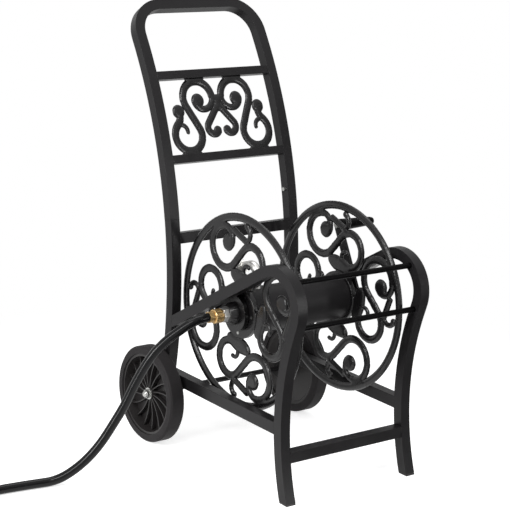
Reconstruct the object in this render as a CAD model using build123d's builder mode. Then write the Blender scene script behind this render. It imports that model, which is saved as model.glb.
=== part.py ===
from build123d import *

import os
from math import acos, asin, atan2, cos, degrees, pi, radians, sin, sqrt, tan

os.makedirs("parts", exist_ok=True)

# Garden hose reel cart, in millimetres: +Z up, +X towards the crank, -Y towards the front legs.
# The origin is on the floor in the frame's middle plane, straight below the reel's axis.
sides = (("left", -1), ("right", 1))

# Square steel tube of the frame, and how far apart its two sides stand
tube = 25.4
wall = 1.6
half_width = 186.3
inner_x = half_width - tube
hollow = tube - 2 * wall
slip = 0.2

# Side tube in side view: a bowed leg, a round shoulder and an arm that falls to the rear post
shoulder_y = -171.3
shoulder_z = 431.0
shoulder_radius = 77.5
arm_fall = 30.5
leg_lean = 18.1
leg_radius = 600.0
leg_overrun = 2.0
neck_length = 21.7
foot_cap_height = 5.0
plug_depth = 16.0

# Rear frame in side view: one long curve that carries the wheels, the panel and the handle
rear_y = 1340.3
rear_z = 334.0
rear_radius = 1120.0
post_bottom = 95.0
seam_z = 535.0
bend_z = 938.7
handle_neck = 3.0
handle_bend = 75.0
sleeve_reach = 60.0
sleeve_wall = 1.5
handle_bolt_z = seam_z + 2 * sleeve_reach / 3

# Straight members
rail_z = 163.0
rail_height = 28.0
stretcher_z = 99.5
cross_bar_z = 491.0
guide_rod_radius = 6.5
upper_rod_angle = 127.5

# Scroll panel in the handle
panel_low_z = 667.0
panel_high_z = 852.0
panel_bar = 20.0
panel_thickness = 6.0
panel_band = 14.5

# Axle and wheels
axle_z = 115.5
axle_radius = 6.35
run_clearance = 0.05
wheel_radius = 115.5
wheel_width = 38.0
wheel_gap = 10.5
tyre_inner = 97.0
tyre_lip = 3.0
tyre_shoulder = 4.0
rim_wall = 6.0
web_thickness = 4.0
web_inset = 6.0
wheel_boss = 15.0
boss_recess = 13.0
rib_count = 16
rib_thickness = 2.6
rib_swirl = 15.0
rib_inset = 2.0
bush_wall = 3.0
washer_thickness = 1.6
washer_radius = 14.0
cap_nut_radius = 10.5
cap_nut_height = 8.0

# Reel
axis_z = 368.6
disc_gap = 1.7
disc_radius = 222.5
rim_band = 14.0
rim_thickness = 6.0
rim_round = 2.0
scroll_band = 14.0
scroll_thickness = 5.0
hub_radius = 60.0
hub_thickness = 12.0
drum_radius = 52.5
drum_wall = 2.0
end_ring_radius = 41.0
end_ring_length = 12.0
spigot_length = 8.0
flange_radius = 24.0
flange_thickness = 5.0
disc_screw_circle = 47.5
disc_screw_count = 4
disc_screw_radius = 2.2
disc_screw_head = 4.0

# Bearings
housing_radius = 42.0
housing_depth = 11.5
pad_length = 92.0
pad_height = 24.0
pad_corner = 8.0
bearing_bolt_pitch = 66.0
bolt_radius = 3.0
bolt_head_radius = 5.0
bolt_head_height = 4.5
bush_radius = 18.0

# Water way: swivel tube, collar, nipple and garden hose thread
swivel_radius = 14.0
water_radius = 8.0
swivel_reach = 17.0
collar_length = 21.0
collar_radius = 26.0
collar_nose = 19.0
seal_width = 3.0
seal_depth = 3.4
nipple_hex = 17.0
nipple_hex_length = 13.0
thread_radius = 13.4
thread_length = 16.0
thread_clearance = 0.1
nut_radius = 16.0
nut_length = 22.0
nut_ribs = 10
hose_radius = 10.5
ferrule_radius = 12.5
ferrule_grip = 8.0
ferrule_step = 10.4
ferrule_flange = 13.1
ferrule_flange_width = 2.3
hose_washer_thickness = 2.5
outlet_radius = 10.5
outlet_inset = 22.7
outlet_bend = 18.0
outlet_arch = 20.0
outlet_height = 108.0
outlet_reach = 56.0
outlet_drop = 20.5
outlet_hex_length = 8.0

# Crank
crank_radius = 168.0
crank_lean = 28.0
crank_gap = 7.7
crank_thickness = 7.0
crank_width = 25.0
crank_boss_radius = 17.0
crank_boss_depth = 5.0
shaft_radius = 9.5
shaft_thread_radius = 6.0
crank_nut_radius = 11.0
crank_nut_height = 8.0
grip_length = 101.0
grip_gap = 1.0
grip_base_radius = 14.5
grip_end_radius = 10.5
grip_collar = 2.0
pin_radius = 5.0
pin_head_radius = 7.5
pin_head_height = 4.0
pin_nut_radius = 8.0
pin_nut_height = 4.8

# Leader hose: free route from the ferrule to the floor, and the coil put away at its end
tie_thickness = 1.2
tie_width = 12.0
tie_clearance = 0.3
hose_z = hose_radius + tie_clearance + tie_thickness
coil_first_radius = 126.0
coil_step = 22.4
coil_last_radius = 86.0
coil_rise = 16.0
climb_radius = 150.0
coil_over = 38.0
coil_reach = 571.2
coil_y = 122.0


def band(line, width, plane):
    """Face of one width along a line that is drawn in the plane."""
    with BuildSketch(plane) as face:
        trace(line.edges(), line_width=width)
    return face.sketch


def rear_angle(z):
    """Angle of the rear frame's curve at a height, about the curve's centre."""
    return 180 - degrees(asin((z - rear_z) / rear_radius))


def rear_point(z):
    """Point of the rear frame's centre line at a height, in the middle plane."""
    return Vector(0, rear_y - sqrt(rear_radius**2 - (z - rear_z) ** 2), z)


def rear_line(low, high):
    """Side view of the rear frame's centre line between two heights."""
    with BuildLine() as line:
        CenterArc((rear_y, rear_z), rear_radius, rear_angle(high), rear_angle(low) - rear_angle(high))
    return line.line


def scroll(start, heading, steps):
    """Line of (radius, turn) steps, left turns positive; a turn of 0 is a straight of that length."""
    here = Vector(start)
    with BuildLine() as line:
        for size, turn in steps:
            ahead = Vector(1, 0).rotate(Axis.Z, heading)
            if turn:
                step = JernArc(here, ahead, size, turn)
            else:
                step = Line(here, here + ahead * size)
            here = step @ 1
            heading += turn
    return line.line


def s_line(loop_a, radius_a, begin, loop_b, radius_b, end, tail=()):
    """S-shaped line: left round loop a, straight across, right round loop b, then the tail's steps."""
    across = Vector(loop_b) - Vector(loop_a)
    reach = radius_a + radius_b
    leave = degrees(atan2(across.Y, across.X) - acos(reach / across.length))
    steps = [
        (radius_a, (leave - begin) % 360),
        (sqrt(across.length**2 - reach**2), 0),
        (radius_b, -((leave + 180 - end) % 360)),
        *tail,
    ]
    start = Vector(loop_a) + Vector(radius_a, 0).rotate(Axis.Z, begin)
    return scroll(start, begin + 90, steps)


def ball_centre(line, width, radius, side):
    """Centre of a ball that ends a band: side 1 on a left-hand curl, -1 on a right-hand one, 0 at the tip."""
    tip = line.edges()[-1]
    inward = (tip % 1).rotate(Axis.Z, 90 * side)
    return (tip @ 1) + inward * (radius - width / 2)


# Centre lines in side view, where local x is the cart's Y and local y its Z
rear_curve = rear_line(post_bottom, bend_z)
with BuildLine() as side_line:
    shoulder = CenterArc((shoulder_y, shoulder_z), shoulder_radius, 90 - arm_fall, 90 + leg_lean + arm_fall)
    arm = IntersectingLine(shoulder @ 0, (shoulder % 0) * -1, rear_curve.edge())
    neck = PolarLine(shoulder @ 1, neck_length, direction=shoulder % 1)
    leg_fall = ((neck @ 1).Y / leg_radius) - sin(radians(leg_lean))
    leg = JernArc(neck @ 1, neck % 1, leg_radius, -(leg_lean + degrees(asin(leg_fall)) + leg_overrun))
leg_centre = leg.arc_center
arm_ahead = arm % 0
arm_normal = arm_ahead.rotate(Axis.Z, 90)
axis_point = Vector(0, axis_z)
arm_offset = ((shoulder @ 0) - axis_point).dot(arm_normal)
pad_centre = axis_point + arm_normal * arm_offset
axle_y = rear_point(axle_z).Y


def leg_y(z):
    """Leg's centre line at a height."""
    return leg_centre.X + sqrt(leg_radius**2 - (z - leg_centre.Y) ** 2)


def pad_plane(x, facing):
    """Plane across the arm beside the reel's axis: local x runs along the arm."""
    along = (0, arm_ahead.X, arm_ahead.Y)
    return Plane((x, pad_centre.X, pad_centre.Y), x_dir=along, z_dir=(facing, 0, 0))


def reel_plane(x, facing):
    """Plane square to the reel's axis."""
    return Plane((x, 0, axis_z), x_dir=(0, 1, 0), z_dir=(facing, 0, 0))


def outward_plane(sign, y, z):
    """Plane through a cross axis: local x points away from the cart's middle, local y up."""
    return Plane((0, y, z), x_dir=(sign, 0, 0), z_dir=(0, -sign, 0))


reel_axis = Axis((0, 0, axis_z), (1, 0, 0))
wheel_axis = Axis((0, axle_y, axle_z), (1, 0, 0))

# Side tubes, lower rails and the caps under the legs
for side, sign in sides:
    tube_plane = Plane.YZ.offset(sign * inner_x)
    hollow_plane = Plane.YZ.offset(sign * (inner_x + wall))
    post_cut = extrude(band(rear_curve, tube, tube_plane), amount=sign * tube)
    leg_cut = extrude(band(leg, tube, tube_plane), amount=sign * tube)

    with BuildPart() as side_tube:
        extrude(band(side_line.line, tube, tube_plane), amount=sign * tube)
        extrude(band(side_line.line, hollow, hollow_plane), amount=sign * hollow, mode=Mode.SUBTRACT)
        add(post_cut, mode=Mode.SUBTRACT)
        split(bisect_by=Plane.XY.offset(foot_cap_height), keep=Keep.TOP)
        with BuildSketch(pad_plane(sign * inner_x, sign)):
            with GridLocations(bearing_bolt_pitch, 0, 2, 1):
                Circle(bolt_radius + slip)
        extrude(amount=wall, mode=Mode.SUBTRACT)
    side_tube.part.label = f"{side}_side_tube"
    export_step(side_tube.part, f"parts/{side}_side_tube.step")

    with BuildPart() as foot_cap:
        extrude(band(leg, tube, tube_plane), amount=sign * tube)
        split(bisect_by=Plane.XY.offset(foot_cap_height), keep=Keep.BOTTOM)
        plug = band(leg, hollow - 2 * slip, Plane.YZ.offset(sign * (inner_x + wall + slip)))
        extrude(plug, amount=sign * (hollow - 2 * slip))
        split(bisect_by=Plane.XY.offset(foot_cap_height + plug_depth), keep=Keep.BOTTOM)
        split(bisect_by=Plane.XY, keep=Keep.TOP)
    foot_cap.part.label = f"{side}_foot_cap"
    export_step(foot_cap.part, f"parts/{side}_foot_cap.step")

    with BuildPart() as lower_rail:
        rail_x = sign * (half_width - tube / 2)
        rail_start = leg_y(rail_z)
        rail_length = rear_point(rail_z).Y - rail_start
        with BuildSketch(Plane((rail_x, rail_start, rail_z), x_dir=(1, 0, 0), z_dir=(0, 1, 0))):
            Rectangle(tube, rail_height)
            Rectangle(hollow, rail_height - 2 * wall, mode=Mode.SUBTRACT)
        extrude(amount=rail_length)
        add(post_cut, mode=Mode.SUBTRACT)
        add(leg_cut, mode=Mode.SUBTRACT)
    lower_rail.part.label = f"{side}_lower_rail"
    export_step(lower_rail.part, f"parts/{side}_lower_rail.step")

# Front stretcher between the legs
with BuildPart() as front_stretcher:
    with BuildSketch(Plane.YZ.offset(-inner_x)):
        with Locations((leg_y(stretcher_z), stretcher_z)):
            Rectangle(tube, tube)
            Rectangle(hollow, hollow, mode=Mode.SUBTRACT)
    extrude(amount=2 * inner_x)
front_stretcher.part.label = "front_stretcher"
export_step(front_stretcher.part, "parts/front_stretcher.step")

# Guide rods that the hose runs out between
upper_rod_at = Vector(shoulder_y, shoulder_z) + Vector(shoulder_radius, 0).rotate(Axis.Z, upper_rod_angle)
for name, rod_at in (("upper_guide_rod", upper_rod_at), ("lower_guide_rod", neck @ 0.5)):
    with BuildPart() as guide_rod:
        with BuildSketch(Plane.YZ.offset(-inner_x)):
            with Locations((rod_at.X, rod_at.Y)):
                Circle(guide_rod_radius)
        extrude(amount=2 * inner_x)
    guide_rod.part.label = name
    export_step(guide_rod.part, f"parts/{name}.step")

# Rear posts, their end caps and the splice sleeves that the handle slides on
for side, sign in sides:
    tube_plane = Plane.YZ.offset(sign * inner_x)
    hollow_plane = Plane.YZ.offset(sign * (inner_x + wall))
    post_line = rear_line(post_bottom, seam_z)

    with BuildPart() as post:
        extrude(band(post_line, tube, tube_plane), amount=sign * tube)
        extrude(band(post_line, hollow, hollow_plane), amount=sign * hollow, mode=Mode.SUBTRACT)
        with BuildSketch(tube_plane):
            with Locations((axle_y, axle_z)):
                Circle(axle_radius + run_clearance)
        extrude(amount=sign * tube, mode=Mode.SUBTRACT)
    post.part.label = f"{side}_post"
    export_step(post.part, f"parts/{side}_post.step")

    foot = rear_point(post_bottom)
    foot_ahead = Vector(0, foot.Y - rear_y, foot.Z - rear_z).rotate(Axis.X, 90).normalized()
    with BuildPart() as post_cap:
        middle_x = sign * (half_width - tube / 2)
        with BuildSketch(Plane((middle_x, foot.Y, foot.Z), x_dir=(1, 0, 0), z_dir=foot_ahead)):
            RectangleRounded(tube, tube, wall)
        extrude(amount=wall)
        with BuildSketch(Plane((middle_x, foot.Y, foot.Z), x_dir=(1, 0, 0), z_dir=foot_ahead)):
            Rectangle(hollow - 2 * slip, hollow - 2 * slip)
        extrude(amount=-(axle_z - post_bottom) / 2)
    post_cap.part.label = f"{side}_post_cap"
    export_step(post_cap.part, f"parts/{side}_post_cap.step")

    sleeve_line = rear_line(seam_z - sleeve_reach, seam_z + sleeve_reach)
    sleeve_size = hollow - 2 * slip
    with BuildPart() as sleeve:
        sleeve_plane = Plane.YZ.offset(sign * (inner_x + wall + slip))
        extrude(band(sleeve_line, sleeve_size, sleeve_plane), amount=sign * sleeve_size)
        bore = sleeve_size - 2 * sleeve_wall
        bore_plane = Plane.YZ.offset(sign * (inner_x + wall + slip + sleeve_wall))
        extrude(band(sleeve_line, bore, bore_plane), amount=sign * bore, mode=Mode.SUBTRACT)
        with BuildSketch(tube_plane):
            with Locations((rear_point(handle_bolt_z).Y, handle_bolt_z)):
                Circle(bolt_radius + slip)
        extrude(amount=sign * tube / 2, mode=Mode.SUBTRACT)
    sleeve.part.label = f"{side}_sleeve"
    export_step(sleeve.part, f"parts/{side}_sleeve.step")

# Handle: two rails on the rear curve, joined by a bent loop in the plane that they end in
bend_point = rear_point(bend_z)
bend_tilt = radians(180 - rear_angle(bend_z))
loop_plane = Plane(bend_point, x_dir=(1, 0, 0), z_dir=(0, -cos(bend_tilt), sin(bend_tilt)))
rail_line = rear_line(seam_z, bend_z)
loop_half = half_width - tube / 2
with BuildLine() as loop_line:
    up = Line((-loop_half, 0), (-loop_half, handle_neck))
    turn = JernArc(up @ 1, up % 1, handle_bend, -90)
    top = Line(turn @ 1, (loop_half - handle_bend, handle_neck + handle_bend))
    back = JernArc(top @ 1, top % 1, handle_bend, -90)
    Line(back @ 1, (loop_half, 0))
with BuildPart() as handle_tube:
    for side, sign in sides:
        extrude(band(rail_line, tube, Plane.YZ.offset(sign * inner_x)), amount=sign * tube)
    extrude(band(loop_line.line, tube, loop_plane), amount=tube / 2, both=True)
    for side, sign in sides:
        rail_hollow = band(rail_line, hollow, Plane.YZ.offset(sign * (inner_x + wall)))
        extrude(rail_hollow, amount=sign * hollow, mode=Mode.SUBTRACT)
        with BuildSketch(Plane.YZ.offset(sign * inner_x)):
            with Locations((rear_point(handle_bolt_z).Y, handle_bolt_z)):
                Circle(bolt_radius + slip)
        extrude(amount=sign * tube / 2, mode=Mode.SUBTRACT)
    extrude(band(loop_line.line, hollow, loop_plane), amount=hollow / 2, both=True, mode=Mode.SUBTRACT)
handle_tube.part.label = "handle_tube"
export_step(handle_tube.part, "parts/handle_tube.step")

# Bolts that hold the handle on its sleeves, heads on the inner faces
with BuildPart() as handle_bolts:
    for side, sign in sides:
        with BuildSketch(Plane.YZ.offset(sign * inner_x)):
            with Locations((rear_point(handle_bolt_z).Y, handle_bolt_z)):
                Circle(bolt_radius)
        extrude(amount=sign * (wall + slip + sleeve_wall + bolt_radius))
        with BuildSketch(Plane.YZ.offset(sign * inner_x)):
            with Locations((rear_point(handle_bolt_z).Y, handle_bolt_z)):
                RegularPolygon(bolt_head_radius, 6)
        extrude(amount=-sign * bolt_head_height)
handle_bolts.part.label = "handle_bolts"
export_step(handle_bolts.part, "parts/handle_bolts.step")

# Cross bar behind the reel
cross_point = rear_point(cross_bar_z)
cross_tilt = 180 - rear_angle(cross_bar_z)
with BuildPart() as rear_cross_bar:
    with BuildSketch(Plane.YZ.offset(-inner_x)):
        with Locations((cross_point.Y, cross_point.Z)):
            Rectangle(tube, tube, rotation=-cross_tilt)
            Rectangle(hollow, hollow, rotation=-cross_tilt, mode=Mode.SUBTRACT)
    extrude(amount=2 * inner_x)
rear_cross_bar.part.label = "rear_cross_bar"
export_step(rear_cross_bar.part, "parts/rear_cross_bar.step")

# Panel bars, in the plane of the scroll panel and flush with the front of the rails
panel_low = rear_point(panel_low_z)
panel_rise = rear_point(panel_high_z) - panel_low
panel_height = panel_rise.length
panel_front = Vector(1, 0, 0).cross(panel_rise).normalized()
panel_plane = Plane(panel_low + panel_front * (tube - panel_bar) / 2, x_dir=(1, 0, 0), z_dir=panel_front)
for name, bar_at in (("panel_bottom_bar", 0), ("panel_top_bar", panel_height)):
    with BuildPart() as panel_bar_tube:
        with BuildSketch(panel_plane):
            with Locations((0, bar_at)):
                Rectangle(2 * inner_x, panel_bar)
        extrude(amount=panel_bar / 2, both=True)
        with BuildSketch(panel_plane):
            with Locations((0, bar_at)):
                Rectangle(2 * inner_x, panel_bar - 2 * wall)
        extrude(amount=panel_bar / 2 - wall, both=True, mode=Mode.SUBTRACT)
    panel_bar_tube.part.label = name
    export_step(panel_bar_tube.part, f"parts/{name}.step")

# Scroll panel: two mirrored S-scrolls with rolled ends, a heart of hooks between them
top_loop = (-54.5, panel_height - panel_bar / 2 - 47.5)
top_loop_radius = 41.0
low_loop = (-98.5, panel_bar / 2 + 44.5)
low_loop_radius = 37.5
top_ball = 15.0
low_ball = 14.0
flare_width = 52.0
flare_height = 9.0
flare_angle = 42.0
curl_band = 11.0
hook_band = 6.0
heart_band = 13.0
heart_ball = 9.0
neck_curl = scroll(
    (top_loop[0], top_loop[1] + top_loop_radius),
    0,
    ((top_loop_radius, -90), (28, -90), (24, -80)),
)
panel_s = s_line(top_loop, top_loop_radius, 90, low_loop, low_loop_radius, 135, ((6, 0), (24, 56)))
low_tip = Vector(low_loop) + Vector(low_loop_radius, 0).rotate(Axis.Z, 150)
low_hook = scroll(low_tip, 60, ((17, -150), (13, -20)))
heart = scroll((-4, panel_bar / 2 + 110), 231, ((52, 0), (16, 180)))
with BuildSketch(panel_plane) as panel_face:
    trace(panel_s.edges(), line_width=panel_band)
    trace(neck_curl.edges()[0], line_width=panel_band)
    trace(neck_curl.edges()[1:], line_width=curl_band)
    trace(low_hook.edges(), line_width=hook_band)
    trace(heart.edges(), line_width=heart_band)
    for line, width, radius, hand in (
        (neck_curl, curl_band, top_ball, -1),
        (panel_s, panel_band, low_ball, 0),
        (heart, heart_band, heart_ball, 1),
    ):
        with Locations(ball_centre(line, width, radius, hand)):
            Circle(radius)
    with Locations((top_loop[0], panel_height - panel_bar / 2 - flare_height / 2)):
        Trapezoid(flare_width, flare_height, flare_angle, rotation=180)
    with Locations((low_loop[0], panel_bar / 2 + flare_height / 2)):
        Trapezoid(flare_width, flare_height, flare_angle)
    mirror(about=Plane.YZ)
    with Locations((0, panel_bar / 2 + 118)):
        Rectangle(16, 36)
    for bar_at in (0, panel_height):
        with Locations((0, bar_at)):
            Rectangle(2 * inner_x, panel_bar, mode=Mode.SUBTRACT)
with BuildPart() as scroll_panel:
    extrude(panel_face.sketch, amount=panel_thickness / 2, both=True)
scroll_panel.part.label = "scroll_panel"
export_step(scroll_panel.part, "parts/scroll_panel.step")

# Axle through both posts, with spacers, washers and cap nuts
wheel_inner = half_width + wheel_gap
wheel_outer = wheel_inner + wheel_width
boss_face = wheel_outer - boss_recess
axle_end = boss_face + washer_thickness + cap_nut_height
with BuildPart() as axle:
    with BuildSketch(Plane.YZ.offset(-axle_end)):
        with Locations((axle_y, axle_z)):
            Circle(axle_radius)
    extrude(amount=2 * axle_end)
axle.part.label = "axle"
export_step(axle.part, "parts/axle.step")

with BuildPart() as axle_spacers:
    for side, sign in sides:
        with BuildSketch(Plane.YZ.offset(sign * half_width)):
            with Locations((axle_y, axle_z)):
                Circle(axle_radius + bush_wall)
                Circle(axle_radius + run_clearance, mode=Mode.SUBTRACT)
        extrude(amount=sign * (wheel_gap - slip))
axle_spacers.part.label = "axle_spacers"
export_step(axle_spacers.part, "parts/axle_spacers.step")

with BuildPart() as axle_washers:
    for side, sign in sides:
        with BuildSketch(Plane.YZ.offset(sign * (boss_face + slip))):
            with Locations((axle_y, axle_z)):
                Circle(washer_radius)
                Circle(axle_radius + run_clearance, mode=Mode.SUBTRACT)
        extrude(amount=sign * (washer_thickness - slip))
axle_washers.part.label = "axle_washers"
export_step(axle_washers.part, "parts/axle_washers.step")

with BuildPart() as axle_cap_nuts:
    for side, sign in sides:
        nut_face = boss_face + washer_thickness
        with BuildSketch(Plane.YZ.offset(sign * nut_face)):
            with Locations((axle_y, axle_z)):
                RegularPolygon(cap_nut_radius, 6)
        extrude(amount=sign * cap_nut_height)
        with BuildSketch(outward_plane(sign, axle_y, axle_z)):
            with BuildLine():
                dome = cap_nut_radius * cos(pi / 6) - washer_thickness / 2
                dome_x = nut_face + cap_nut_height
                Line((dome_x, 0), (dome_x, dome))
                EllipticalCenterArc((dome_x, 0), axle_radius, dome, start_angle=0, arc_size=90)
                Line((dome_x + axle_radius, 0), (dome_x, 0))
            make_face()
        revolve(axis=wheel_axis)
        with BuildSketch(Plane.YZ.offset(sign * nut_face)):
            with Locations((axle_y, axle_z)):
                Circle(axle_radius)
        extrude(amount=sign * cap_nut_height, mode=Mode.SUBTRACT)
axle_cap_nuts.part.label = "axle_cap_nuts"
export_step(axle_cap_nuts.part, "parts/axle_cap_nuts.step")

# Wheels: rubber tyre on a deep, ribbed plastic hub that turns on a bush
rim_radius = tyre_inner - run_clearance
rim_inner = rim_radius - rim_wall
web_face = wheel_inner + web_inset + web_thickness
with BuildSketch() as rib:
    with BuildLine() as rib_line:
        rib_end = Vector(rim_inner + rim_wall / 4, 0).rotate(Axis.Z, -rib_swirl)
        TangentArc((wheel_boss - rib_thickness, 0), (rib_end.X, rib_end.Y), tangent=(1, 0))
    trace(rib_line.edges(), line_width=rib_thickness)
for side, sign in sides:
    profile_plane = outward_plane(sign, axle_y, axle_z)

    with BuildPart() as tyre:
        with BuildSketch(profile_plane):
            with BuildLine():
                Polyline(
                    (wheel_inner, tyre_inner),
                    (wheel_inner, wheel_radius - tyre_shoulder),
                    (wheel_inner + tyre_shoulder, wheel_radius),
                    (wheel_outer - tyre_shoulder, wheel_radius),
                    (wheel_outer, wheel_radius - tyre_shoulder),
                    (wheel_outer, tyre_inner),
                    close=True,
                )
            make_face()
        revolve(axis=wheel_axis)
    tyre.part.label = f"{side}_tyre"
    export_step(tyre.part, f"parts/{side}_tyre.step")

    with BuildPart() as wheel_hub:
        with BuildSketch(profile_plane):
            with BuildLine():
                Polyline(
                    (wheel_inner + tyre_lip, rim_radius),
                    (wheel_outer - tyre_lip, rim_radius),
                    (wheel_outer - tyre_lip, rim_inner),
                    (web_face, rim_inner - tyre_lip),
                    (web_face, wheel_boss + tyre_lip),
                    (boss_face, wheel_boss),
                    (boss_face, axle_radius + bush_wall),
                    (wheel_inner, axle_radius + bush_wall),
                    (wheel_inner, wheel_boss),
                    (wheel_inner + web_inset, wheel_boss + tyre_lip),
                    (wheel_inner + web_inset, rim_inner - tyre_lip),
                    (wheel_inner + tyre_lip, rim_inner),
                    close=True,
                )
            make_face()
        revolve(axis=wheel_axis)
        with BuildSketch(Plane((sign * web_face, axle_y, axle_z), x_dir=(0, -sign, 0), z_dir=(sign, 0, 0))):
            with PolarLocations(0, rib_count):
                add(rib.sketch)
        extrude(amount=boss_face - web_face - rib_inset)
    wheel_hub.part.label = f"{side}_wheel_hub"
    export_step(wheel_hub.part, f"parts/{side}_wheel_hub.step")

    with BuildPart() as wheel_bush:
        with BuildSketch(Plane.YZ.offset(sign * wheel_inner)):
            with Locations((axle_y, axle_z)):
                Circle(axle_radius + bush_wall)
                Circle(axle_radius + run_clearance, mode=Mode.SUBTRACT)
        extrude(amount=sign * (boss_face - wheel_inner))
    wheel_bush.part.label = f"{side}_wheel_bush"
    export_step(wheel_bush.part, f"parts/{side}_wheel_bush.step")

# Bearing housings on the arms' inner faces, each with a pad behind the arm for two bolts
housing_x = inner_x - housing_depth
disc_face_x = housing_x - disc_gap
drum_end = disc_face_x - hub_thickness
disc_x = (disc_face_x + drum_end) / 2
shaft_of = {"left": swivel_radius, "right": shaft_radius}
for side, sign in sides:
    with BuildPart() as bearing_housing:
        with BuildSketch(reel_plane(sign * inner_x, -sign)):
            Circle(housing_radius)
        extrude(amount=housing_depth, taper=6)
        with BuildSketch(pad_plane(sign * inner_x, -sign)):
            RectangleRounded(pad_length, pad_height, pad_corner)
        extrude(amount=housing_depth)
        with BuildSketch(reel_plane(sign * inner_x, -sign)):
            Circle(bush_radius)
        extrude(amount=housing_depth, mode=Mode.SUBTRACT)
        with Locations(pad_plane(sign * housing_x, -sign)):
            with GridLocations(bearing_bolt_pitch, 0, 2, 1):
                CounterBoreHole(bolt_radius + slip, bolt_head_radius + slip, bolt_head_height + slip)
    bearing_housing.part.label = f"{side}_bearing_housing"
    export_step(bearing_housing.part, f"parts/{side}_bearing_housing.step")

    with BuildPart() as bearing_bush:
        with BuildSketch(reel_plane(sign * inner_x, -sign)):
            Circle(bush_radius)
            Circle(shaft_of[side] + run_clearance, mode=Mode.SUBTRACT)
        extrude(amount=housing_depth)
    bearing_bush.part.label = f"{side}_bearing_bush"
    export_step(bearing_bush.part, f"parts/{side}_bearing_bush.step")

with BuildPart() as bearing_bolts:
    for side, sign in sides:
        with BuildSketch(pad_plane(sign * (housing_x + bolt_head_height + slip), sign)):
            with GridLocations(bearing_bolt_pitch, 0, 2, 1):
                Circle(bolt_radius)
        extrude(amount=housing_depth + 2 * bolt_radius - bolt_head_height)
        with BuildSketch(pad_plane(sign * (housing_x + slip), sign)):
            with GridLocations(bearing_bolt_pitch, 0, 2, 1):
                Circle(bolt_head_radius)
                RegularPolygon(bolt_radius, 6, mode=Mode.SUBTRACT)
        extrude(amount=bolt_head_height)
        with BuildSketch(pad_plane(sign * (housing_x + bolt_head_height / 2), sign)):
            with GridLocations(bearing_bolt_pitch, 0, 2, 1):
                Circle(bolt_head_radius)
        extrude(amount=bolt_head_height / 2 + slip)
bearing_bolts.part.label = "bearing_bolts"
export_step(bearing_bolts.part, "parts/bearing_bolts.step")

# Scroll discs: a rim, four S-scrolls between rim and hub, seen from the left with the front on the right
inner_loop = (33.0, 116.5)
inner_loop_radius = 41.0
outer_loop = (-69.0, 137.5)
outer_loop_radius = 49.0
disc_ball = 17.0
disc_curl_band = 11.0
disc_hook_band = 5.0
rim_hook_band = 8.0
rim_bead = 6.0
leaf_band = 11.0
leaf_length = 84.0
leaf_width = 34.0
disc_s = s_line(inner_loop, inner_loop_radius, -130, outer_loop, outer_loop_radius, 90)
disc_curl = scroll(
    (outer_loop[0], outer_loop[1] + outer_loop_radius),
    0,
    ((28, -90), (24, -50)),
)
disc_hook = scroll((3, 84), 85, ((14, 0), (13, -125)))
rim_hook = scroll((10, 164.5), 15, ((18, 145),))
rim_leaf = scroll((12, 164), 160, ((55, 0),))
scroll_sets = 4


def disc_face(plane):
    """Scrolls of one disc, between its hub and its rim."""
    with BuildSketch(plane) as face:
        trace(disc_s.edges(), line_width=scroll_band)
        trace(disc_curl.edges(), line_width=disc_curl_band)
        trace(disc_hook.edges(), line_width=disc_hook_band)
        trace(rim_hook.edges(), line_width=rim_hook_band)
        trace(rim_leaf.edges(), line_width=leaf_band)
        with Locations(ball_centre(disc_curl, disc_curl_band, disc_ball, -1)):
            Circle(disc_ball)
        with Locations(rim_hook.edges()[-1] @ 1):
            Circle(rim_bead)
        with Locations(Location((2, 75, 0), (0, 0, 166))):
            Ellipse(leaf_length / 2, leaf_width / 2)
        one_set = face.sketch_local
        for number in range(1, scroll_sets):
            add(one_set.rotate(Axis.Z, number * 360 / scroll_sets))
    return face.sketch


for side, sign in sides:
    with BuildPart() as disc:
        seen_from_left = Plane((sign * disc_x, 0, axis_z), x_dir=(0, -1, 0), z_dir=(-1, 0, 0))
        extrude(disc_face(seen_from_left), amount=scroll_thickness / 2, both=True)
        with BuildSketch(seen_from_left):
            Circle(hub_radius)
        extrude(amount=hub_thickness / 2, both=True)
        with BuildSketch(Plane((sign * disc_x, 0, axis_z), x_dir=(1, 0, 0), z_dir=(0, -1, 0))):
            with Locations((0, disc_radius - rim_band / 2)):
                RectangleRounded(rim_thickness, rim_band, rim_round)
        revolve(axis=reel_axis)
        with BuildSketch(reel_plane(sign * drum_end, -sign)):
            Circle(end_ring_radius - run_clearance)
        extrude(amount=spigot_length)
        with BuildSketch(reel_plane(sign * disc_face_x, -sign)):
            Circle(shaft_of[side] + run_clearance)
            with PolarLocations(disc_screw_circle, disc_screw_count):
                Circle(disc_screw_radius + slip)
        extrude(amount=hub_thickness + spigot_length, mode=Mode.SUBTRACT)
        with BuildSketch(reel_plane(sign * disc_face_x, -sign)):
            with PolarLocations(disc_screw_circle, disc_screw_count):
                Circle(disc_screw_head + slip)
        extrude(amount=disc_screw_head - disc_screw_radius, taper=45, mode=Mode.SUBTRACT)
    disc.part.label = f"{side}_disc"
    export_step(disc.part, f"parts/{side}_disc.step")

    with BuildPart() as disc_screws:
        with BuildSketch(reel_plane(sign * disc_face_x, -sign)):
            with PolarLocations(disc_screw_circle, disc_screw_count):
                Circle(disc_screw_head)
        extrude(amount=disc_screw_head - disc_screw_radius, taper=45)
        with BuildSketch(reel_plane(sign * disc_face_x, -sign)):
            with PolarLocations(disc_screw_circle, disc_screw_count):
                Circle(disc_screw_radius)
        extrude(amount=hub_thickness + end_ring_length / 2)
    disc_screws.part.label = f"{side}_disc_screws"
    export_step(disc_screws.part, f"parts/{side}_disc_screws.step")

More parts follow.
